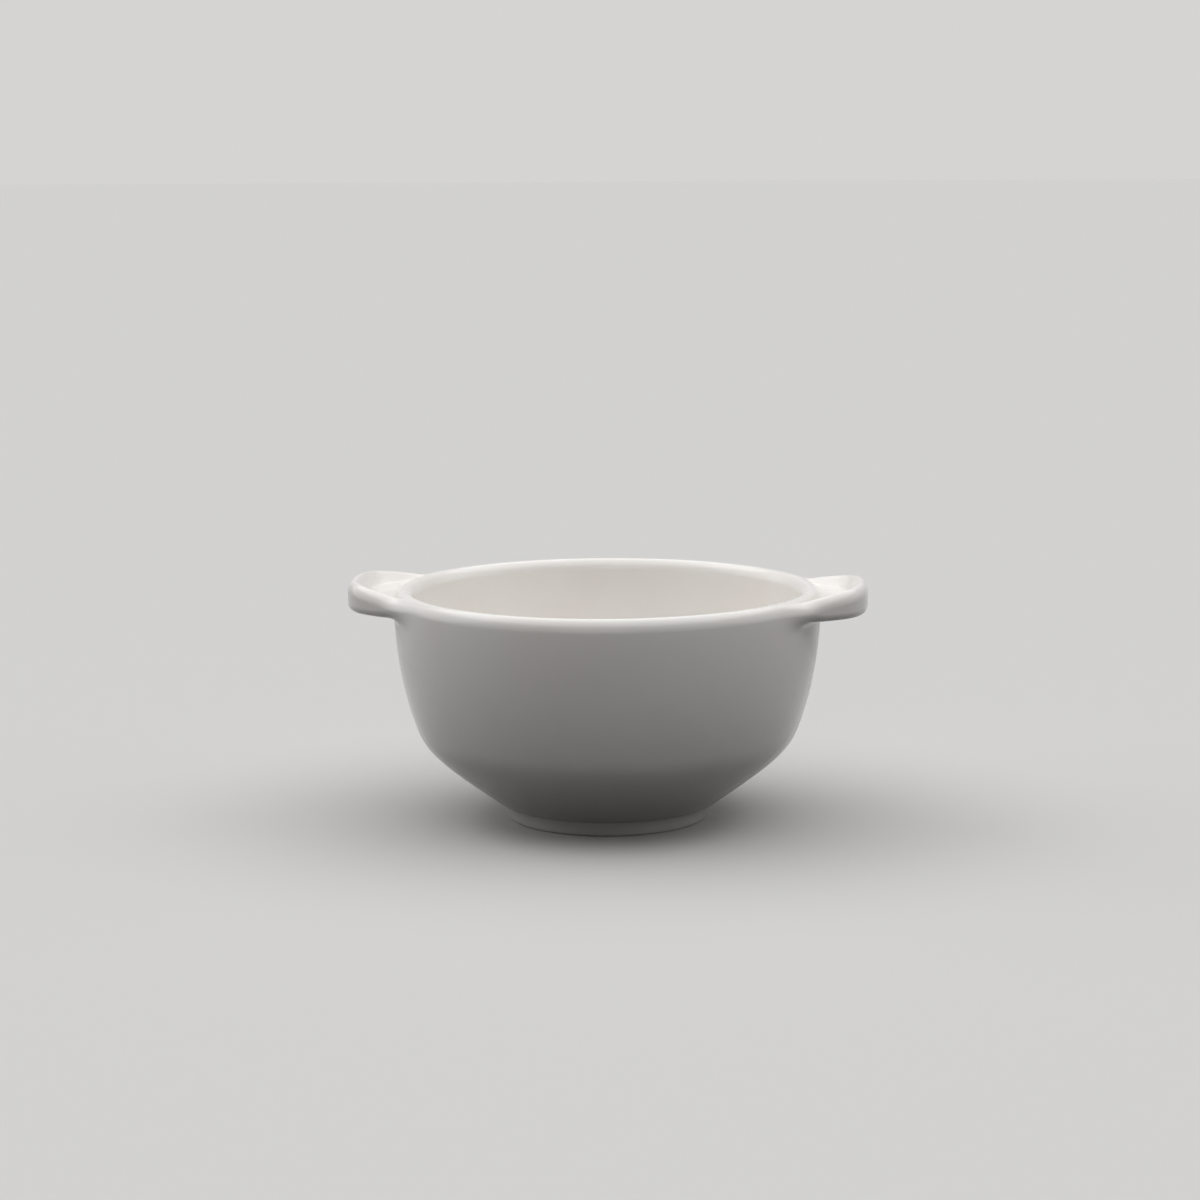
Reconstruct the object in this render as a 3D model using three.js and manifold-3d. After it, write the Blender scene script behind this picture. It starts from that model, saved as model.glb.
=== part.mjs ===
// A glazed china soup cup: a round bowl with a thick rounded lip, a low foot ring, and two
// ear-shaped lugs at the rim. Millimetres, +Z up, origin at the middle of the foot's standing face,
// lugs along X.
import * as THREE from "three";
import { mergeVertices } from "three/addons/utils/BufferGeometryUtils.js";
import Module from "manifold-3d";

const wasm = await Module();
wasm.setup();

// Bowl
const CUP_HEIGHT = 60;
const RIM_DIAMETER = 110;
const WALL_THICKNESS = 5;
const LIP_OUTER_HEIGHT = 3.5;
const LIP_INNER_HEIGHT = 3;

// Bowl's side: where the flaring wall turns in to the belly, the slopes there and at the base in
// degrees above the horizontal, and how far each curve keeps to its end slopes
const SHOULDER_DIAMETER = 100.2;
const SHOULDER_HEIGHT = 25.8;
const SHOULDER_SLOPE = 78;
const SHOULDER_ROUNDING = 8.7;
const WALL_ROUNDING = 14;
const BASE_SLOPE = 28;
const BASE_ROUNDING = 9.6;
const COVE_WIDTH = 2.1;
const COVE_RISE = 1.4;

// Bowl's floor: its flat middle, and how far the inside keeps level past it before it curves up
const FLOOR_THICKNESS = 5;
const FLOOR_DIAMETER = 32;
const FLOOR_ROUNDING = 12;

// Foot ring
const FOOT_DIAMETER = 52.6;
const FOOT_HEIGHT = 3.6;
const FOOT_RING_WIDTH = 4.6;
const FOOT_EDGE_RADIUS = 0.7;

// Lugs
const LUG_REACH = 12;
const LUG_WIDTH = 50.4;
const LUG_OUTLINE_LENGTH = 36.4;
const LUG_SQUARENESS = 2.6;
const LUG_UNDERSIDE_DROP = 5.6;
const LUG_ROOT_DROP = 0.4;
const LUG_TIP_RISE = 2.3;
const LUG_EDGE_RADIUS = 2.4;
const LUG_ROOT_DEPTH = 8;
const DISH_DROP = 1.5;
const DISH_BORDER = 2.8;
const DISH_EDGE_RADIUS = 2.2;

// Room for the slip that sticks a lug to the bowl
const LUTE_GAP = 0.3;

// Glaze
const CHINA_COLOUR = 0xf3ece6;
const GLAZE_ROUGHNESS = 0.2;
const FOOT_ROUGHNESS = 0.35;

// Fineness of the round shapes
const TURN_STEPS = 60;
const CURVE_STEPS = 8;
const LUG_OUTLINE_STEPS = 32;
const LUG_EDGE_STEPS = 3;
const MERGE_DISTANCE = 1e-4;

// Slopes in degrees above the horizontal
const LEVEL = 0;
const UPRIGHT = 90;

const rimRadius = RIM_DIAMETER / 2;
const footRadius = FOOT_DIAMETER / 2;
const lipWidth = WALL_THICKNESS / 2;
const crestRadius = rimRadius - lipWidth;
const lipStart = CUP_HEIGHT - LIP_OUTER_HEIGHT;
const lugTip = rimRadius + LUG_REACH;
const lugUnderside = CUP_HEIGHT - LUG_UNDERSIDE_DROP;
const lugTipThickness = LUG_TIP_RISE + LUG_UNDERSIDE_DROP;

// Unit vector at a slope, in the plane of radius and height.
function slopeDirection(degrees) {
  const angle = THREE.MathUtils.degToRad(degrees);
  return new THREE.Vector2(Math.cos(angle), Math.sin(angle));
}

// A point moved inward, square to a slope. A negative depth moves it outward.
function inset(point, slope, depth) {
  const along = slopeDirection(slope);
  return new THREE.Vector2(point.x - along.y * depth, point.y + along.x * depth);
}

// A smooth curve between two ends, each with its point, its slope and how far it keeps to that slope.
function slopedCurve(from, to) {
  const leave = slopeDirection(from.slope).multiplyScalar(from.rounding).add(from.point);
  const arrive = slopeDirection(to.slope).multiplyScalar(-to.rounding).add(to.point);
  return new THREE.CubicBezierCurve(from.point, leave, arrive, to.point);
}

function reversed(curve) {
  return new THREE.CubicBezierCurve(curve.v3, curve.v2, curve.v1, curve.v0);
}

function follow(path, curve) {
  path.bezierCurveTo(curve.v1.x, curve.v1.y, curve.v2.x, curve.v2.y, curve.v3.x, curve.v3.y);
}

// The bowl's wall from its shoulder up to the lip, moved inward by a depth.
function wallCurve(depth) {
  const shoulder = inset(new THREE.Vector2(SHOULDER_DIAMETER / 2, SHOULDER_HEIGHT), SHOULDER_SLOPE, depth);
  const top = inset(new THREE.Vector2(rimRadius, lipStart), UPRIGHT, depth);
  return slopedCurve(
    { point: shoulder, slope: SHOULDER_SLOPE, rounding: WALL_ROUNDING },
    { point: top, slope: UPRIGHT, rounding: WALL_ROUNDING });
}

// The bowl's belly from a lower end up to the foot of a wall.
function bellyCurve(lowerEnd, wall) {
  return slopedCurve(
    lowerEnd, { point: wall.v0, slope: SHOULDER_SLOPE, rounding: SHOULDER_ROUNDING });
}

// A closed solid of revolution about Z from a profile of radius and height.
function turned(profile) {
  const points = [profile.getPoint(0)];
  for (const curve of profile.curves) {
    const steps = curve.isLineCurve ? 1 : CURVE_STEPS;
    points.push(...curve.getPoints(steps).slice(1));
  }
  const geometry = new THREE.LatheGeometry(points, TURN_STEPS);
  geometry.rotateX(Math.PI / 2);
  return geometry;
}

function toSolid(geometry) {
  const bare = geometry.index ? geometry.toNonIndexed() : geometry.clone();
  bare.deleteAttribute("normal");
  bare.deleteAttribute("uv");
  const merged = mergeVertices(bare, MERGE_DISTANCE);
  return new wasm.Manifold(new wasm.Mesh({
    numProp: 3,
    vertProperties: Float32Array.from(merged.attributes.position.array),
    triVerts: Uint32Array.from(merged.index.array),
  }));
}

function toGeometry(solid) {
  const mesh = solid.getMesh();
  const geometry = new THREE.BufferGeometry();
  geometry.setAttribute("position", new THREE.BufferAttribute(mesh.vertProperties, 3));
  geometry.setIndex(new THREE.BufferAttribute(mesh.triVerts, 1));
  geometry.computeVertexNormals();
  return geometry;
}

function china(roughness) {
  return new THREE.MeshStandardMaterial({ color: CHINA_COLOUR, roughness, metalness: 0 });
}

function piece(name, geometry, material) {
  const mesh = new THREE.Mesh(geometry, material);
  mesh.name = name;
  return mesh;
}

// Bowl: flat under its floor where the foot ring is stuck on, a cove above the foot, then belly,
// wall and lip, and down the inside to the floor.
function bowlGeometry() {
  const coveTop = new THREE.Vector2(footRadius + COVE_WIDTH, FOOT_HEIGHT + COVE_RISE);
  const coveFall = COVE_WIDTH * Math.tan(THREE.MathUtils.degToRad(BASE_SLOPE));
  const coveBend = Math.max(coveTop.y - coveFall, FOOT_HEIGHT);
  const floorEdge = new THREE.Vector2(FLOOR_DIAMETER / 2, FOOT_HEIGHT + FLOOR_THICKNESS);
  const outerWall = wallCurve(0);
  const innerWall = wallCurve(WALL_THICKNESS);
  const outerBelly = bellyCurve({ point: coveTop, slope: BASE_SLOPE, rounding: BASE_ROUNDING }, outerWall);
  const innerBelly = bellyCurve({ point: floorEdge, slope: LEVEL, rounding: FLOOR_ROUNDING }, innerWall);

  const profile = new THREE.Path();
  profile.moveTo(0, FOOT_HEIGHT);
  profile.lineTo(footRadius, FOOT_HEIGHT);
  profile.quadraticCurveTo(footRadius, coveBend, coveTop.x, coveTop.y);
  follow(profile, outerBelly);
  follow(profile, outerWall);
  profile.absellipse(crestRadius, lipStart, lipWidth, LIP_OUTER_HEIGHT, 0, Math.PI / 2);
  profile.absellipse(
    crestRadius, CUP_HEIGHT - LIP_INNER_HEIGHT, lipWidth, LIP_INNER_HEIGHT, Math.PI / 2, Math.PI);
  profile.lineTo(innerWall.v3.x, innerWall.v3.y);
  follow(profile, reversed(innerWall));
  follow(profile, reversed(innerBelly));
  profile.lineTo(0, floorEdge.y);
  return turned(profile);
}

// Foot ring: flat on top against the bowl, flat underneath to stand on, both lower edges rounded.
function footRingGeometry() {
  const innerRadius = footRadius - FOOT_RING_WIDTH;
  const edge = FOOT_EDGE_RADIUS;
  const profile = new THREE.Path();
  profile.moveTo(innerRadius, FOOT_HEIGHT);
  profile.lineTo(innerRadius, edge);
  profile.absarc(innerRadius + edge, edge, edge, Math.PI, Math.PI * 1.5);
  profile.lineTo(footRadius - edge, 0);
  profile.absarc(footRadius - edge, edge, edge, Math.PI * 1.5, Math.PI * 2);
  profile.lineTo(footRadius, FOOT_HEIGHT);
  profile.lineTo(innerRadius, FOOT_HEIGHT);
  return turned(profile);
}

// A lug's outline from above: the outer half of a squarish oval, brought in by a border all round.
// Straight sides carry it on behind the wall, far enough for its corners to be rounded there.
function lugOutline(border, edgeRadius) {
  const length = LUG_OUTLINE_LENGTH - border;
  const halfWidth = LUG_WIDTH / 2 - border;
  const centre = lugTip - LUG_OUTLINE_LENGTH;
  const root = Math.max(rimRadius - LUG_ROOT_DEPTH, centre);
  const rootShare = Math.pow((root - centre) / length, LUG_SQUARENESS);
  const rootHalfWidth = halfWidth * Math.pow(1 - rootShare, 1 / LUG_SQUARENESS);
  const rootAngle = Math.atan2(
    Math.pow(rootHalfWidth / halfWidth, LUG_SQUARENESS / 2),
    Math.pow((root - centre) / length, LUG_SQUARENESS / 2));
  const heel = root - 2 * edgeRadius;
  const points = [new THREE.Vector2(heel, -rootHalfWidth)];
  for (let step = 0; step <= LUG_OUTLINE_STEPS; step += 1) {
    const angle = rootAngle * (2 * step / LUG_OUTLINE_STEPS - 1);
    const along = Math.pow(Math.cos(angle), 2 / LUG_SQUARENESS);
    const across = Math.sign(angle) * Math.pow(Math.abs(Math.sin(angle)), 2 / LUG_SQUARENESS);
    points.push(new THREE.Vector2(centre + length * along, halfWidth * across));
  }
  points.push(new THREE.Vector2(heel, rootHalfWidth));
  return new THREE.Shape(points);
}

// A slab of the lug's outline with rounded edges, standing on a height.
function roundedSlab(border, thickness, edgeRadius, height) {
  const geometry = new THREE.ExtrudeGeometry(lugOutline(border, edgeRadius), {
    depth: thickness - 2 * edgeRadius,
    bevelThickness: edgeRadius,
    bevelSize: edgeRadius,
    bevelOffset: -edgeRadius,
    bevelSegments: LUG_EDGE_STEPS,
  });
  geometry.translate(0, 0, height + edgeRadius);
  return geometry;
}

// Thins a slab from its tip towards the bowl, so that its top climbs outward over a level underside.
function thinTowardsBowl(geometry) {
  const rise = LUG_TIP_RISE + LUG_ROOT_DROP;
  const position = geometry.attributes.position;
  for (let index = 0; index < position.count; index += 1) {
    const inward = (lugTip - position.getX(index)) / (LUG_REACH + lipWidth);
    const share = 1 - inward * rise / lugTipThickness;
    position.setZ(index, lugUnderside + (position.getZ(index) - lugUnderside) * share);
  }
  return geometry;
}

// The bowl's outside, filled and swollen by the lute gap, which trims a lug's inner face.
function bowlTrim() {
  const wall = wallCurve(-LUTE_GAP);
  const lipReach = lipWidth + LUTE_GAP;
  const lipHeight = LIP_OUTER_HEIGHT + LUTE_GAP;
  const profile = new THREE.Path();
  profile.moveTo(0, wall.v0.y);
  profile.lineTo(wall.v0.x, wall.v0.y);
  follow(profile, wall);
  profile.absellipse(crestRadius, lipStart, lipReach, lipHeight, 0, Math.PI / 2);
  profile.lineTo(0, CUP_HEIGHT + LUTE_GAP);
  return turned(profile);
}

// Lug: a rounded slab whose edge climbs to the tip, dished on top and trimmed to the bowl. The dish
// is cut twice as deep as the slab is high above it, so its own upper edges stay clear.
function lugGeometry() {
  const slab = toSolid(thinTowardsBowl(roundedSlab(0, lugTipThickness, LUG_EDGE_RADIUS, lugUnderside)));
  const dishDepth = 2 * (LUG_TIP_RISE + DISH_DROP + DISH_EDGE_RADIUS);
  const dish = toSolid(roundedSlab(DISH_BORDER, dishDepth, DISH_EDGE_RADIUS, CUP_HEIGHT - DISH_DROP));
  return toGeometry(slab.subtract(dish).subtract(toSolid(bowlTrim())));
}

const cup = new THREE.Group();
cup.add(piece("bowl", bowlGeometry(), china(GLAZE_ROUGHNESS)));
cup.add(piece("foot_ring", footRingGeometry(), china(FOOT_ROUGHNESS)));
cup.add(piece("right_lug", lugGeometry(), china(GLAZE_ROUGHNESS)));
const leftLug = piece("left_lug", lugGeometry(), china(GLAZE_ROUGHNESS));
leftLug.rotation.z = Math.PI;
cup.add(leftLug);

export default cup;
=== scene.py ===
"""A glazed china soup cup: bowl, foot ring and two lugs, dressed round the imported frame.

Everything is in metres in the frame's axes: +Z up, lugs along X, the foot standing on z = 0.
Named angles and slopes are in degrees.
"""

import math

import bpy
import numpy as np
from mathutils import Matrix, Vector


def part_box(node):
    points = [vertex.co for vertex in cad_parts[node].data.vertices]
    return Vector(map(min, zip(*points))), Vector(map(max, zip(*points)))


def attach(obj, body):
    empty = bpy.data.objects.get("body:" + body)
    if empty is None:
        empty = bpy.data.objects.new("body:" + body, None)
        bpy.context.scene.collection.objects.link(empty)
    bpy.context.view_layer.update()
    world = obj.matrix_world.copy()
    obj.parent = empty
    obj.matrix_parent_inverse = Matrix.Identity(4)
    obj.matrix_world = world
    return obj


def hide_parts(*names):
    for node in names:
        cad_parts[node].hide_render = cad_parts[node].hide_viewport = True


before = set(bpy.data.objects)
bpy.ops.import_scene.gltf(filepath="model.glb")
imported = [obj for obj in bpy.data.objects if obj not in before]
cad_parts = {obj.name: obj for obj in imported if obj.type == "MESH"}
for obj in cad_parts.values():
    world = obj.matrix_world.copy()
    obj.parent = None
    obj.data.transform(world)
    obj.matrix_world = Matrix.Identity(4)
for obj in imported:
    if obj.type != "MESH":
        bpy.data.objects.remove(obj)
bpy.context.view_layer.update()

MM = 0.001
UPRIGHT = 90

# What the frame gives
RIM_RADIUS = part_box("bowl")[1].x
RIM_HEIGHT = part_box("bowl")[1].z
FOOT_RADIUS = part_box("foot_ring")[1].x
FOOT_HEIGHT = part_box("foot_ring")[1].z
LUG_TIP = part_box("right_lug")[1].x
LUG_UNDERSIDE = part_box("right_lug")[0].z

# Bowl. A hold is the length of a curve's handle at that end.
WALL_THICKNESS = 5.0 * MM
LIP_OUTER_HEIGHT = 3.5 * MM
LIP_INNER_HEIGHT = 3.0 * MM
SHOULDER_RADIUS = 49.8 * MM
SHOULDER_HEIGHT = 25.1 * MM
SHOULDER_SLOPE = 70
SHOULDER_HOLD = 5.9 * MM
WALL_LOWER_HOLD = 12.0 * MM
WALL_UPPER_HOLD = 7.6 * MM
BASE_SLOPE = 35.4
BASE_HOLD = 22.2 * MM
COVE_WIDTH = 1.6 * MM
COVE_RISE = 0.6 * MM
COVE_HOLD = 0.4 * MM
FLOOR_THICKNESS = 5.0 * MM
FLOOR_RADIUS = 16.0 * MM
FLOOR_HOLD = 12.0 * MM
UNDERSIDE_DOME = 0.5 * MM

# Foot ring
FOOT_RING_WIDTH = 4.6 * MM
FOOT_EDGE = 0.7 * MM
FOOT_FLARE = 0.3 * MM
FOOT_TAPER = 0.4 * MM
FOOT_INNER_COVE = 1.4 * MM

# Lugs: the ear seen from above, and how far its mesh goes round the axis to each side
LUG_LENGTH = 36.4 * MM
LUG_HALF_WIDTH = 23.1 * MM
LUG_SQUARENESS = 2.85
LUG_SWING = 37

# Lugs: the flare out of the rim, from where it is only a drawn lip to where it is all lug
FLARE_REACH = 9.0 * MM
FLARE_FADE = 2.5 * MM
FLARE_FIRST = 0.8 * MM
FLARE_LAST = 5.5 * MM

# Lugs: the crest, the edges and the dished top
CREST_DROP = 0.15 * MM
CREST_CLIMB = 0.19
CREST_ROUNDING = 2.5 * MM
CREST_SHOULDER = 3.5 * MM
LOWER_ROUNDING = 1.6 * MM
LOWER_SHOULDER = 2.0 * MM
ROLL_WIDTH = 2.0 * MM
DISH_DROP = 1.5 * MM
DISH_RUN = 3.2 * MM

# Lugs: the fillets against the bowl, and how the mesh ends under the bowl's skin
CREASE_FILLET = 0.8 * MM
WALL_FILLET = 2.0 * MM
FILLET_TOP_DROP = 0.8 * MM
FILLET_FULL_DROP = 3.5 * MM
LUG_BORDER_INSET = 0.05 * MM
LUG_BORDER_DROP = 8.5 * MM
LUG_SINK = 0.006 * MM
LUG_SINK_FADE = 0.02 * MM
LUG_BACK_DEPTH = 2.0 * MM

# Places that follow from these sizes
CREST_RADIUS = RIM_RADIUS - WALL_THICKNESS / 2
LIP_START = RIM_HEIGHT - LIP_OUTER_HEIGHT
FLOOR_HEIGHT = FOOT_HEIGHT + FLOOR_THICKNESS
FOOT_TOP_RADIUS = FOOT_RADIUS + FOOT_FLARE
FOOT_BOTTOM_RADIUS = FOOT_RADIUS - FOOT_TAPER
FOOT_INNER_RADIUS = FOOT_RADIUS - FOOT_RING_WIDTH
FOOT_SLOPE = math.degrees(math.atan2(FOOT_HEIGHT - FOOT_EDGE, FOOT_FLARE + FOOT_TAPER))
LUG_BORDER_HEIGHT = RIM_HEIGHT - LUG_BORDER_DROP
LUG_BACK_HEIGHT = RIM_HEIGHT - LUG_BACK_DEPTH

# Sway of the clay. A wave has the axis it pushes along, a strength, paces along x, y and z, and a start.
SWAY = 0.09 * MM
SWAY_LENGTH = RIM_RADIUS / 2
SWAY_WAVES = (
    (0, 1.0, (0, 1.3, 0.9), 0.4),
    (0, 0.5, (2.1, -1.7, 0), 0),
    (1, 1.0, (1.1, 0, -0.8), 1.9),
    (1, 0.5, (1.2, 2.3, 0), 0.6),
    (2, 0.6, (1.2, 1.5, 0), 2.2),
)

# Fineness of the turned pieces
TURN_STEPS = 288
UNDERSIDE_STEPS = 24
JOINT_STEPS = 6
COVE_STEPS = 14
BELLY_STEPS = 56
WALL_STEPS = 48
LIP_STEPS = 24
LIP_END_STEPS = 2
INNER_WALL_STEPS = 44
FLOOR_STEPS = 16
FOOT_TOP_STEPS = 6
FOOT_COVE_STEPS = 12
FOOT_INNER_STEPS = 6
FOOT_EDGE_STEPS = 10
FOOT_FACE_STEPS = 8
FOOT_OUTER_STEPS = 8
SHARP_ANGLE = 60

# Fineness of the lugs, and of the outline and the search that they are traced with
LUG_SECTIONS = 160
LUG_SECTION_STEPS = 140
LUG_BACK_STEPS = 8
TRACE_STEP = 0.2 * MM
TRACE_STEPS = 250
TRACE_ROUNDS = 1
SKIN_ROUNDS = 2
BEND_WEIGHT = 1.5 * MM
GRADIENT_STEP = 0.02 * MM
GUIDE_WALL_STEPS = 60
GUIDE_LIP_STEPS = 40
SEARCH_NEAR = RIM_RADIUS / 2
SEARCH_FAR = 2 * RIM_RADIUS
SEARCH_ROUNDS = 30

# Colours
GLAZE_WARM = (0.910, 0.875, 0.838)
GLAZE_CLEAN = (0.925, 0.900, 0.872)
# A darker glaze for the creases, standing for both pooled glaze and painted shade there
GLAZE_POOLED_AND_SHADED = (0.74, 0.70, 0.65)
BISCUIT = (0.78, 0.70, 0.60)
SPECK = (0.36, 0.27, 0.19)

# Glaze pools and painted shade in the creases: how deep they are, how wide at the cove, and how much they
# darken and tint the glaze
COVE_POOL_AND_SHADE_DEPTH = 0.8
COVE_POOL_AND_SHADE_WIDTH = 2.4 * MM
LUG_POOL_AND_SHADE_DEPTH = 2
POOL_AND_SHADE_TINT = 0.75

# Glaze textures. A scale counts cells along a metre, and a speck's edge is a share of a cell.
CLOUD_SCALE = 45
CLOUD_DETAIL = 3
CLOUD_RANGE = (0.35, 0.65)
SPECK_SCALE = 70
SPECK_EDGE = (0.012, 0.022)
SPECK_RARITY = (0.80, 0.82)
SPECK_STRENGTH = 0.45
PEEL_SCALE = 520
PEEL_DETAIL = 2
RING_SCALE = 650
RING_DETAIL = 2
RING_SHARE = 0.6
RELIEF_STRENGTH = 0.12
RELIEF_HEIGHT = 0.1 * MM

# Gloss
GLAZE_IOR = 1.5
GLOSS_SCALE = 180
GLOSS_DETAIL = 3
GLOSS_RANGE = (0.3, 0.7)
GLAZE_ROUGHNESS = (0.19, 0.26)
COAT_WEIGHT = 0.35
COAT_ROUGHNESS = 0.08

# The foot's glaze and its dry standing edge
EDGE_SCALE = 300
EDGE_DETAIL = 2
EDGE_RAGGEDNESS = 0.4 * MM
DRY_EDGE = (0.55 * MM, 0.75 * MM)
GRAIN_SCALE = 2200
GRAIN_DETAIL = 3
FOOT_ROUGHNESS = 0.22
BISCUIT_ROUGHNESS = 0.85

# Stage: what is seen of it, and how much of it lights the cup
STAGE_SIZE = 60.0
STAGE_SHOWN = (0.672, 0.666, 0.661)
STAGE_BOUNCE = (0.06, 0.06, 0.06)
SKY_SHOWN = (0.665, 0.658, 0.652)
SKY_LIGHT = (0.035, 0.035, 0.035)

# Lights: azimuth from +X towards +Y, elevation, how wide the light is, and its strength
LIGHTS = {
    "overhead_light": (90, 88, 104, 2.32),
    "left_light": (170, 30, 60, 0.68),
    "right_light": (10, 30, 60, 0.45),
    "front_light": (-90, 8, 40, 0.16),
}

# Camera. The lens and the sensor are in millimetres.
CAMERA_DISTANCE = 0.7077
CAMERA_HEIGHT = 0.1669
CAMERA_SWING = 5.57
CAMERA_YAW = 0.147
CAMERA_PITCH = 8.875
CAMERA_ROLL = 0.30
LENS = 83.26
SENSOR_WIDTH = 36

# A Mix node's sockets for each kind of value: its two inputs and its output
MIX_SOCKETS = {"FLOAT": (2, 3, 0), "RGBA": (6, 7, 2)}


def smoothstep(value):
    share = np.clip(value, 0, 1)
    return share * share * (3 - 2 * share)


# Profiles in the plane of radius and height

def heading(degrees):
    return np.array([math.cos(math.radians(degrees)), math.sin(math.radians(degrees))])


def straight(start, end, steps):
    return np.linspace(start, end, steps + 1)


def sloped_curve(start, start_slope, start_hold, end, end_slope, end_hold, steps):
    """Points of a curve that leaves and arrives at given slopes, and holds to them for a while."""
    leave = start + heading(start_slope) * start_hold
    arrive = end - heading(end_slope) * end_hold
    t = np.linspace(0, 1, steps + 1)[:, None]
    return (1 - t)**3 * start + 3 * (1 - t)**2 * t * leave + 3 * (1 - t) * t**2 * arrive + t**3 * end


def oval_arc(centre, half_width, half_height, start, end, steps):
    angle = np.radians(np.linspace(start, end, steps + 1))
    return np.stack([centre[0] + half_width * np.cos(angle), centre[1] + half_height * np.sin(angle)], -1)


def joined(*stretches):
    """One run of points: each stretch begins where the one before it ends."""
    return np.concatenate([stretches[0]] + [stretch[1:] for stretch in stretches[1:]])


def inset(point, slope, depth):
    """A point moved square to a slope, to its left."""
    along = heading(slope)
    return np.array(point) + depth * np.array([-along[1], along[0]])


def wall_curve(depth, steps):
    """The bowl's wall from shoulder to lip, moved inward by a depth."""
    shoulder = inset((SHOULDER_RADIUS, SHOULDER_HEIGHT), SHOULDER_SLOPE, depth)
    top = inset((RIM_RADIUS, LIP_START), UPRIGHT, depth)
    return sloped_curve(shoulder, SHOULDER_SLOPE, WALL_LOWER_HOLD, top, UPRIGHT, WALL_UPPER_HOLD, steps)


def belly_curve(start, slope, hold, depth, steps):
    """The bowl's belly from a lower end up to the shoulder, moved inward by a depth."""
    shoulder = inset((SHOULDER_RADIUS, SHOULDER_HEIGHT), SHOULDER_SLOPE, depth)
    return sloped_curve(np.array(start), slope, hold, shoulder, SHOULDER_SLOPE, SHOULDER_HOLD, steps)


def lip_curve(steps):
    """Over the lip, from outside to inside, down to the same height on both sides."""
    half_width = WALL_THICKNESS / 2
    outer = oval_arc((CREST_RADIUS, LIP_START), half_width, LIP_OUTER_HEIGHT, 0, 90, steps)
    inner_centre = (CREST_RADIUS, RIM_HEIGHT - LIP_INNER_HEIGHT)
    inner = oval_arc(inner_centre, half_width, LIP_INNER_HEIGHT, 90, 180, steps)
    return joined(outer, inner, straight(inner[-1], (inner[-1][0], LIP_START), LIP_END_STEPS))


def underside_curve():
    """The shallow dome under the bowl, from the axis out to the foot ring."""
    end = FOOT_INNER_RADIUS - FOOT_INNER_COVE
    radius = np.linspace(0, end, UNDERSIDE_STEPS + 1)
    return np.stack([radius, FOOT_HEIGHT + UNDERSIDE_DOME * (1 - (radius / end)**2)**2], -1)


def bowl_profile():
    underside = underside_curve()
    joint = np.array([FOOT_TOP_RADIUS, FOOT_HEIGHT])
    cove_top = joint + (COVE_WIDTH, COVE_RISE)
    floor_edge = (FLOOR_RADIUS, FLOOR_HEIGHT)
    return joined(
        underside,
        straight(underside[-1], joint, JOINT_STEPS),
        sloped_curve(joint, FOOT_SLOPE, COVE_HOLD, cove_top, BASE_SLOPE, COVE_HOLD, COVE_STEPS),
        belly_curve(cove_top, BASE_SLOPE, BASE_HOLD, 0, BELLY_STEPS),
        wall_curve(0, WALL_STEPS),
        lip_curve(LIP_STEPS),
        wall_curve(WALL_THICKNESS, INNER_WALL_STEPS)[::-1],
        belly_curve(floor_edge, 0, FLOOR_HOLD, WALL_THICKNESS, BELLY_STEPS)[::-1],
        straight(floor_edge, (0, FLOOR_HEIGHT), FLOOR_STEPS),
    )


def foot_edge(centre_radius, start, end):
    """A rounded edge of the standing face."""
    return oval_arc((centre_radius, FOOT_EDGE), FOOT_EDGE, FOOT_EDGE, start, end, FOOT_EDGE_STEPS)


def foot_profile():
    top = (FOOT_TOP_RADIUS, FOOT_HEIGHT)
    cove = FOOT_INNER_COVE
    cove_centre = (FOOT_INNER_RADIUS - cove, FOOT_HEIGHT - cove)
    inner_cove = oval_arc(cove_centre, cove, cove, 90, 0, FOOT_COVE_STEPS)
    inner_edge = foot_edge(FOOT_INNER_RADIUS + FOOT_EDGE, -180, -90)
    outer_edge = foot_edge(FOOT_BOTTOM_RADIUS - FOOT_EDGE, -90, FOOT_SLOPE - UPRIGHT)
    return joined(
        straight(top, inner_cove[0], FOOT_TOP_STEPS),
        inner_cove,
        straight(inner_cove[-1], inner_edge[0], FOOT_INNER_STEPS),
        inner_edge,
        straight(inner_edge[-1], outer_edge[0], FOOT_FACE_STEPS),
        outer_edge,
        straight(outer_edge[-1], top, FOOT_OUTER_STEPS)[:-1],
    )


# Meshes

def add_object(name, data):
    added = bpy.data.objects.new(name, data)
    bpy.context.scene.collection.objects.link(added)
    return added


def unevenness(points):
    """Points with the slight sway that drying and firing leave in the clay, the same for every piece."""
    x, y, z = (points / SWAY_LENGTH).T
    sway = np.zeros_like(points)
    for axis, strength, (pace_x, pace_y, pace_z), start in SWAY_WAVES:
        sway[:, axis] += strength * np.sin(pace_x * x + pace_y * y + pace_z * z + start)
    hold = smoothstep(points[:, 2] / SHOULDER_HEIGHT)[:, None]
    return points + SWAY * hold * sway


def add_piece(name, points, faces, pool_and_shade, material):
    """A shown piece: a smooth closed mesh with the depth of its glaze pools and painted crease shade as an
    attribute.
    """
    mesh = bpy.data.meshes.new(name)
    mesh.from_pydata(unevenness(points).tolist(), [], faces)
    mesh.attributes.new("pool_and_shade", "FLOAT", "POINT").data.foreach_set("value", pool_and_shade.astype(np.float32))
    mesh.shade_smooth()
    mesh.set_sharp_from_angle(angle=math.radians(SHARP_ANGLE))
    mesh.materials.append(material)
    mesh.validate()
    return add_object(name, mesh)


def grid_faces(rows, columns, wrap_rows):
    """Quads between rows of points. Columns go right round; rows do so only if asked."""
    faces = []
    for row in range(rows if wrap_rows else rows - 1):
        above = (row + 1) % rows
        for column in range(columns):
            beside = (column + 1) % columns
            faces.append((row * columns + column, row * columns + beside,
                          above * columns + beside, above * columns + column))
    return faces


def turned_points(profile):
    """Rings of points: one ring for each point of a profile."""
    angle = np.arange(TURN_STEPS) * (2 * math.pi / TURN_STEPS)
    radius, height = profile[:, :1], profile[:, 1:]
    rings = [radius * np.cos(angle), radius * np.sin(angle), np.repeat(height, TURN_STEPS, 1)]
    return np.stack(rings, -1).reshape(-1, 3)


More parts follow.
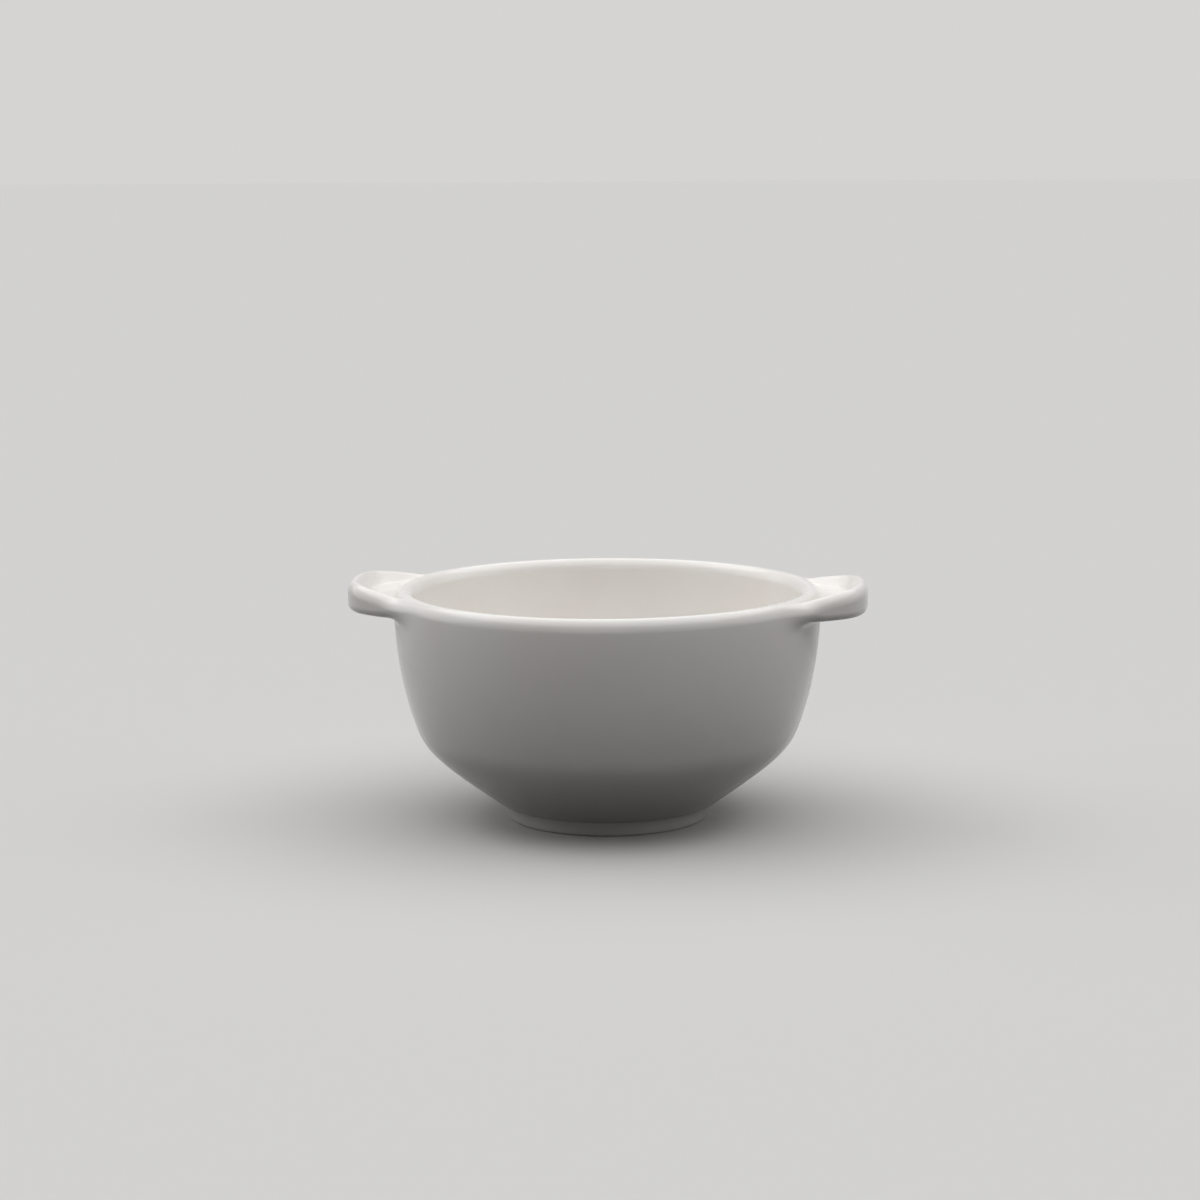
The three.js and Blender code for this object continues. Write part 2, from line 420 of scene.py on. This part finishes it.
def turned_bowl(profile):
    """Points and faces of a profile that begins and ends on the axis."""
    rings = turned_points(profile[1:-1])
    ring_count = len(profile) - 2
    first, last = len(rings), len(rings) + 1
    points = np.concatenate([rings, [(0, 0, profile[0][1]), (0, 0, profile[-1][1])]])
    faces = grid_faces(ring_count, TURN_STEPS, False)
    last_ring = (ring_count - 1) * TURN_STEPS
    for column in range(TURN_STEPS):
        beside = (column + 1) % TURN_STEPS
        faces.append((first, beside, column))
        faces.append((last, last_ring + column, last_ring + beside))
    return points, faces


# Lugs

def line_distance(points, line):
    """Distance of points from a line in the plane of radius and height, positive on its right."""
    start, step = line[:-1], np.diff(line, axis=0)
    offset = points[:, None] - start
    share = np.clip((offset * step).sum(-1) / (step * step).sum(-1), 0, 1)
    gap = offset - share[..., None] * step
    squared = (gap * gap).sum(-1)
    nearest = squared.argmin(1)
    row = np.arange(len(points))
    gap, step = gap[row, nearest], step[nearest]
    left = step[:, 0] * gap[:, 1] - step[:, 1] * gap[:, 0]
    return np.where(left < 0, 1, -1) * np.sqrt(squared[row, nearest])


def round_corner(a, b, radius):
    """Where two solids overlap, with their common edge rounded."""
    rounding = np.hypot(np.maximum(radius + a, 0), np.maximum(radius + b, 0))
    return np.minimum(-radius, np.maximum(a, b)) + rounding


def round_hollow(a, b, radius):
    """Two solids together, with a fillet in the hollow between them."""
    rounding = np.hypot(np.maximum(radius - a, 0), np.maximum(radius - b, 0))
    return np.maximum(radius, np.minimum(a, b)) - rounding


def lug_side(x, y):
    """About how far points are outside the lug seen from above: an ear that flares out of the rim."""
    power = LUG_SQUARENESS
    along = np.maximum(x - (LUG_TIP - LUG_LENGTH), 0) / LUG_LENGTH
    across = np.abs(y) / LUG_HALF_WIDTH
    level = (along**power + across**power)**(1 / power)
    steepness = np.hypot(along**(power - 1) / LUG_LENGTH, across**(power - 1) / LUG_HALF_WIDTH)
    ear = (level - 1) * level**(power - 1) / steepness
    rim = np.hypot(x, y) - RIM_RADIUS
    return np.minimum(ear, rim) - np.maximum(FLARE_REACH - np.abs(ear - rim), 0)**2 / (4 * FLARE_REACH)


def lug_distance(x, y, z):
    """About how far points are outside a lug by itself: a rounded slab, rolled at its edge and dished."""
    side = lug_side(x, y)
    crest = RIM_HEIGHT - CREST_DROP + CREST_CLIMB * (x - CREST_RADIUS)
    sunk = smoothstep((-side - ROLL_WIDTH) / DISH_RUN)
    top = z - crest - (RIM_HEIGHT - DISH_DROP - crest) * sunk
    upper = round_corner(top * CREST_ROUNDING / CREST_SHOULDER, side, CREST_ROUNDING)
    slab = round_corner(upper, (LUG_UNDERSIDE - z) * LOWER_ROUNDING / LOWER_SHOULDER, LOWER_ROUNDING)
    return np.maximum(slab, CREST_RADIUS - np.hypot(x, y))


def guide_line():
    """The bowl's outline where a lug meets it: the upper wall, and over the lip's crest."""
    wall = wall_curve(0, GUIDE_WALL_STEPS)[GUIDE_WALL_STEPS // 3:]
    return joined(wall, lip_curve(GUIDE_LIP_STEPS)[:GUIDE_LIP_STEPS * 3 // 2])


RIM_LINE = guide_line()


def overhang(swing):
    """How far the lug reaches past the rim at given swings about the axis, in radians."""
    near, far = np.full(swing.shape, SEARCH_NEAR), np.full(swing.shape, SEARCH_FAR)
    for _ in range(SEARCH_ROUNDS):
        middle = (near + far) / 2
        outside = lug_side(middle * np.cos(swing), middle * np.sin(swing)) > 0
        near, far = np.where(outside, near, middle), np.where(outside, middle, far)
    return np.maximum(near - RIM_RADIUS, 0)


def fillet_radius(height):
    """A fine crease on top, a full fillet against the wall."""
    share = (RIM_HEIGHT - height - FILLET_TOP_DROP) / (FILLET_FULL_DROP - FILLET_TOP_DROP)
    return CREASE_FILLET + (WALL_FILLET - CREASE_FILLET) * smoothstep(share)


def flared_rim(points, reach):
    """How far points are outside the bowl, with its lip drawn outward by a reach as where a lug begins."""
    radius, height = points.T
    drawn = reach * smoothstep((height - LUG_UNDERSIDE) / (2 * FLARE_FADE) + 0.5)
    share = np.clip((radius - CREST_RADIUS) / (RIM_RADIUS - CREST_RADIUS + drawn), 0, 1)
    return line_distance(np.stack([radius - drawn * share, height], -1), RIM_LINE)


def near_parts(points, swing):
    """How far points of the sections at given swings about the axis are from the bowl and from the lug."""
    radius, height = points.T
    from_bowl = line_distance(points, RIM_LINE)
    return from_bowl, lug_distance(radius * np.cos(swing), radius * np.sin(swing), height)


def grown(reach):
    """How much of the lug's own form there is where it overhangs the rim by a reach."""
    return smoothstep((reach - FLARE_FIRST) / (FLARE_LAST - FLARE_FIRST))


def skin(points, swing):
    """Zero on the skin of bowl and lug together, positive outside it."""
    reach = overhang(swing)
    share = grown(reach)
    whole = round_hollow(*near_parts(points, swing), fillet_radius(points[:, 1]))
    return share * whole + (1 - share) * flared_rim(points, reach)


def skin_gradient(points, swing):
    steps = np.eye(2) * GRADIENT_STEP
    ahead = np.stack([skin(points + step, swing) for step in steps], -1)
    behind = np.stack([skin(points - step, swing) for step in steps], -1)
    return (ahead - behind) / (2 * GRADIENT_STEP)


def to_skin(points, swing, rounds):
    """Points moved onto the skin, by steps along its gradient."""
    for _ in range(rounds):
        gradient = skin_gradient(points, swing)
        points = points - gradient * (skin(points, swing) / (gradient * gradient).sum(-1))[:, None]
    return points


def traced_sections(swing):
    """Follows the skin outward from the lip at each swing, over the lug and down to the wall below it."""
    inset_share = 2 * LUG_BORDER_INSET / WALL_THICKNESS
    lip_radius = CREST_RADIUS + LUG_BORDER_INSET
    lip_height = LIP_START + LIP_OUTER_HEIGHT * math.sqrt(1 - inset_share**2)
    points = np.tile([lip_radius, lip_height], (len(swing), 1))
    traces = [points]
    for _ in range(TRACE_STEPS):
        gradient = skin_gradient(points, swing)
        onward = np.stack([gradient[:, 1], -gradient[:, 0]], -1)
        onward /= np.linalg.norm(onward, axis=-1, keepdims=True)
        moved = to_skin(points + TRACE_STEP * onward, swing, TRACE_ROUNDS)
        points = np.where((points[:, 1] < LUG_BORDER_HEIGHT)[:, None], points, moved)
        traces.append(points)
    return np.stack(traces, 1)


def evened(trace):
    """A section's points spread evenly along it, closer together where it bends."""
    end = np.argmax(trace[:, 1] < LUG_BORDER_HEIGHT) or len(trace) - 1
    trace = trace[:end + 1]
    step = np.diff(trace, axis=0)
    direction = np.unwrap(np.arctan2(step[:, 1], step[:, 0]))
    bend = np.abs(np.gradient(direction))
    measure = np.concatenate([[0], np.cumsum(np.linalg.norm(step, axis=1) + BEND_WEIGHT * bend)])
    wanted = np.linspace(0, measure[-1], LUG_SECTION_STEPS + 1)
    return np.stack([np.interp(wanted, measure, trace[:, axis]) for axis in (0, 1)], -1)


def lug_front(swing):
    """The sections of a lug's shown side, and the depth of the glaze pools and painted shade in its
    fillets there.

    Where a section runs along the bowl, it lies just under the bowl's skin.
    """
    sections = np.stack([evened(trace) for trace in traced_sections(swing)])
    swings = np.repeat(swing, sections.shape[1])
    points = to_skin(sections.reshape(-1, 2), swings, SKIN_ROUNDS)
    from_bowl, from_lug = near_parts(points, swings)
    fillet = fillet_radius(points[:, 1])
    hollow = np.clip(1 - from_bowl / fillet, 0, 1) * np.clip(1 - from_lug / fillet, 0, 1)
    # Painted shade: the glaze is darkened in the fillet hollow between lug and bowl, partly standing for
    # pooled glaze
    pool_and_shade = LUG_POOL_AND_SHADE_DEPTH * hollow * grown(overhang(swings))
    gradient = skin_gradient(points, swings)
    gradient /= np.linalg.norm(gradient, axis=-1, keepdims=True)
    points = points - gradient * (LUG_SINK * smoothstep(1 - from_bowl / LUG_SINK_FADE))[:, None]
    return points.reshape(sections.shape), pool_and_shade.reshape(sections.shape[:2])


def lug_mesh():
    """Points, faces and glaze pools with painted shade of the lug along +X, closed by a back inside the
    bowl's wall.
    """
    half_swing = math.radians(LUG_SWING)
    swing = np.linspace(-half_swing, half_swing, LUG_SECTIONS + 1)
    front, pool_and_shade = lug_front(swing)
    back_height = np.linspace(LUG_BORDER_HEIGHT, LUG_BACK_HEIGHT, LUG_BACK_STEPS)
    back = np.stack([np.full(LUG_BACK_STEPS, CREST_RADIUS), back_height], -1)
    loops = np.concatenate([front, np.tile(back, (len(swing), 1, 1))], 1)
    radius, height = loops[..., 0], loops[..., 1]
    along, across = np.cos(swing)[:, None], np.sin(swing)[:, None]
    points = np.stack([radius * along, radius * across, height], -1).reshape(-1, 3)
    loop_points = loops.shape[1]
    faces = grid_faces(len(swing), loop_points, False)
    faces.append(tuple(range(loop_points))[::-1])
    faces.append(tuple(range(len(points) - loop_points, len(points))))
    return points, faces, np.pad(pool_and_shade, ((0, 0), (0, LUG_BACK_STEPS))).ravel()


# Materials

def new_material(name):
    material = bpy.data.materials.new(name)
    material.use_nodes = True
    material.node_tree.nodes.clear()
    return material


class Graph:
    """Short ways to add and join the nodes of a material or a world."""

    def __init__(self, owner):
        self.tree = owner.node_tree

    def feed(self, socket, value):
        """Links a socket to another node's output, or sets it to a fixed value."""
        if isinstance(value, bpy.types.NodeSocket):
            self.tree.links.new(value, socket)
        else:
            socket.default_value = value

    def add(self, kind, settings=(), **inputs):
        node = self.tree.nodes.new("ShaderNode" + kind)
        for key, value in dict(settings).items():
            setattr(node, key, value)
        for key, value in inputs.items():
            self.feed(node.inputs[key.replace("_", " ")], value)
        return node

    def noise(self, place, scale, detail):
        return self.add("TexNoise", Vector=place, Scale=scale, Detail=detail).outputs["Fac"]

    def spread(self, value, source, target):
        """A value eased from one range into another, each given by its two ends."""
        node = self.add(
            "MapRange",
            {"interpolation_type": "SMOOTHSTEP"},
            Value=value,
            From_Min=source[0],
            From_Max=source[1],
            To_Min=target[0],
            To_Max=target[1],
        )
        return node.outputs["Result"]

    def calculate(self, operation, a, b):
        node = self.add("Math", {"operation": operation})
        self.feed(node.inputs[0], a)
        self.feed(node.inputs[1], b)
        return node.outputs[0]

    def product(self, a, b):
        return self.calculate("MULTIPLY", a, b)

    def sum(self, a, b):
        return self.calculate("ADD", a, b)

    def mix(self, kind, share, a, b):
        first, second, result = MIX_SOCKETS[kind]
        node = self.add("Mix", {"data_type": kind}, Factor=share)
        self.feed(node.inputs[first], a)
        self.feed(node.inputs[second], b)
        return node.outputs[result]

    def blend(self, share, *colours):
        """A colour between two, each given as red, green and blue or by another node."""
        a, b = ((*colour, 1) if isinstance(colour, tuple) else colour for colour in colours)
        return self.mix("RGBA", share, a, b)


def glaze_colour(graph, place):
    """Warm white, clouded a little, darker where the glaze pools and where shade is painted into the
    creases, with a rare faint speck.
    """
    cloud = graph.spread(graph.noise(place, CLOUD_SCALE, CLOUD_DETAIL), CLOUD_RANGE, (0, 1))
    colour = graph.blend(cloud, GLAZE_WARM, GLAZE_CLEAN)
    pooled_and_shaded = graph.add("Attribute", {"attribute_name": "pool_and_shade"}).outputs["Fac"]
    # Painted shade: the pool attribute darkens the glaze in creases and fillets, standing for pooled glaze
    # and the shade there
    colour = graph.blend(graph.product(pooled_and_shaded, POOL_AND_SHADE_TINT), colour, GLAZE_POOLED_AND_SHADED)
    cells = graph.add("TexVoronoi", Vector=place, Scale=SPECK_SCALE)
    dot = graph.spread(cells.outputs["Distance"], SPECK_EDGE, (1, 0))
    pick = graph.add("SeparateColor", Color=cells.outputs["Color"]).outputs["Red"]
    rare = graph.spread(pick, SPECK_RARITY, (0, SPECK_STRENGTH))
    return graph.blend(graph.product(dot, rare), colour, SPECK)


def glaze_relief(graph, place):
    """Orange peel in the glaze and the faint rings that turning leaves in the clay."""
    peel = graph.noise(place, PEEL_SCALE, PEEL_DETAIL)
    height = graph.add("SeparateXYZ", Vector=place).outputs["Z"]
    by_height = {"noise_dimensions": "1D"}
    rings = graph.add("TexNoise", by_height, W=height, Scale=RING_SCALE, Detail=RING_DETAIL)
    relief = graph.sum(peel, graph.product(rings.outputs["Fac"], RING_SHARE))
    bump = graph.add("Bump", Height=relief, Strength=RELIEF_STRENGTH, Distance=RELIEF_HEIGHT)
    return bump.outputs["Normal"]


def glaze_material():
    material = new_material("warm_white_glaze")
    graph = Graph(material)
    place = graph.add("TexCoord").outputs["Object"]
    gloss = graph.noise(place, GLOSS_SCALE, GLOSS_DETAIL)
    shader = graph.add(
        "BsdfPrincipled",
        Base_Color=glaze_colour(graph, place),
        Roughness=graph.spread(gloss, GLOSS_RANGE, GLAZE_ROUGHNESS),
        Normal=glaze_relief(graph, place),
        IOR=GLAZE_IOR,
        Coat_Weight=COAT_WEIGHT,
        Coat_Roughness=COAT_ROUGHNESS,
    )
    graph.add("OutputMaterial", Surface=shader.outputs["BSDF"])
    return material


def foot_material():
    """The same glaze, wiped off the standing edge so that dry biscuit shows there."""
    material = new_material("foot_glaze_with_dry_edge")
    graph = Graph(material)
    place = graph.add("TexCoord").outputs["Object"]
    height = graph.add("SeparateXYZ", Vector=place).outputs["Z"]
    wander = graph.product(graph.noise(place, EDGE_SCALE, EDGE_DETAIL), EDGE_RAGGEDNESS)
    dry = graph.spread(graph.sum(height, wander), DRY_EDGE, (1, 0))
    biscuit = graph.blend(graph.noise(place, GRAIN_SCALE, GRAIN_DETAIL), BISCUIT, GLAZE_WARM)
    shader = graph.add(
        "BsdfPrincipled",
        Base_Color=graph.blend(dry, glaze_colour(graph, place), biscuit),
        Roughness=graph.mix("FLOAT", dry, FOOT_ROUGHNESS, BISCUIT_ROUGHNESS),
        Normal=glaze_relief(graph, place),
        IOR=GLAZE_IOR,
    )
    graph.add("OutputMaterial", Surface=shader.outputs["BSDF"])
    return material


# Stage, lights and camera

def background_ray(graph):
    """One on rays that show the background, zero on those that only carry its light to the cup."""
    path = graph.add("LightPath").outputs
    return graph.sum(graph.sum(path["Is Camera Ray"], path["Is Glossy Ray"]), path["Is Transmission Ray"])


def floor_material():
    material = new_material("pale_floor")
    graph = Graph(material)
    shader = graph.add("BsdfDiffuse", Color=graph.blend(background_ray(graph), STAGE_BOUNCE, STAGE_SHOWN))
    graph.add("OutputMaterial", Surface=shader.outputs["BSDF"])
    return material


def add_floor():
    half = STAGE_SIZE / 2
    corners = [(-half, -half, 0), (half, -half, 0), (half, half, 0), (-half, half, 0)]
    mesh = bpy.data.meshes.new("floor")
    mesh.from_pydata(corners, [], [(0, 1, 2, 3)])
    mesh.materials.append(floor_material())
    return add_object("floor", mesh)


def set_world():
    world = bpy.data.worlds.new("studio")
    bpy.context.scene.world = world
    world.use_nodes = True
    world.node_tree.nodes.clear()
    sky = Graph(world)
    sky_colour = sky.blend(background_ray(sky), SKY_LIGHT, SKY_SHOWN)
    sky.add("OutputWorld", Surface=sky.add("Background", Color=sky_colour).outputs["Background"])


def add_light(name, azimuth, elevation, width, strength):
    """A wide, soft, distant light."""
    light = bpy.data.lights.new(name, "SUN")
    light.angle = math.radians(width)
    light.energy = strength
    turn, rise = math.radians(azimuth), math.radians(elevation)
    towards = Vector((math.cos(turn) * math.cos(rise), math.sin(turn) * math.cos(rise), math.sin(rise)))
    lamp = add_object(name, light)
    lamp.rotation_mode = "QUATERNION"
    lamp.rotation_quaternion = towards.to_track_quat("Z", "Y")


def add_camera():
    """A camera at the photograph's viewing angle, swung about the cup's axis."""
    camera_data = bpy.data.cameras.new("camera")
    camera_data.sensor_width = SENSOR_WIDTH
    camera_data.lens = LENS
    swing = math.radians(CAMERA_SWING)
    place = (CAMERA_DISTANCE * math.sin(swing), -CAMERA_DISTANCE * math.cos(swing), CAMERA_HEIGHT)
    camera = add_object("camera", camera_data)
    camera.matrix_world = (
        Matrix.Translation(place)
        @ Matrix.Rotation(math.radians(CAMERA_SWING + CAMERA_YAW), 4, "Z")
        @ Matrix.Rotation(math.radians(UPRIGHT - CAMERA_PITCH), 4, "X")
        @ Matrix.Rotation(math.radians(-CAMERA_ROLL), 4, "Z")
    )
    bpy.context.scene.camera = camera


# The cup

glaze = glaze_material()

bowl_points, bowl_faces = turned_bowl(bowl_profile())
bowl_radius = np.hypot(bowl_points[:, 0], bowl_points[:, 1])
cove_gap = np.hypot(bowl_radius - FOOT_TOP_RADIUS, bowl_points[:, 2] - FOOT_HEIGHT)
# Painted shade and pooled glaze: darker glaze in the cove where the belly meets the foot ring
cove_pool_and_shade = COVE_POOL_AND_SHADE_DEPTH * smoothstep(1 - cove_gap / COVE_POOL_AND_SHADE_WIDTH)
bowl = add_piece("glazed_bowl", bowl_points, bowl_faces, cove_pool_and_shade, glaze)
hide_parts("bowl")

ring = foot_profile()
ring_points = turned_points(ring)
ring_faces = grid_faces(len(ring), TURN_STEPS, True)
# Painted shade and pooled glaze on the foot ring's top, next to the cove
ring_pool_and_shade = COVE_POOL_AND_SHADE_DEPTH * smoothstep(1 - (FOOT_HEIGHT - ring_points[:, 2]) / COVE_POOL_AND_SHADE_WIDTH)
foot = add_piece("glazed_foot_ring", ring_points, ring_faces, ring_pool_and_shade, foot_material())
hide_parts("foot_ring")

lug_points, lug_faces, lug_pool_and_shade = lug_mesh()
half_turn = np.array([-1, -1, 1])
right_lug = add_piece("glazed_right_lug", lug_points, lug_faces, lug_pool_and_shade, glaze)
left_lug = add_piece("glazed_left_lug", lug_points * half_turn, lug_faces, lug_pool_and_shade, glaze)
for lug, node in ((right_lug, "right_lug"), (left_lug, "left_lug")):
    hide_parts(node)

for piece in (bowl, foot, right_lug, left_lug):
    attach(piece, "root")

# The studio

floor = add_floor()
set_world()
for light_name, setting in LIGHTS.items():
    add_light(light_name, *setting)
add_camera()

bpy.context.scene.view_settings.view_transform = "Standard"
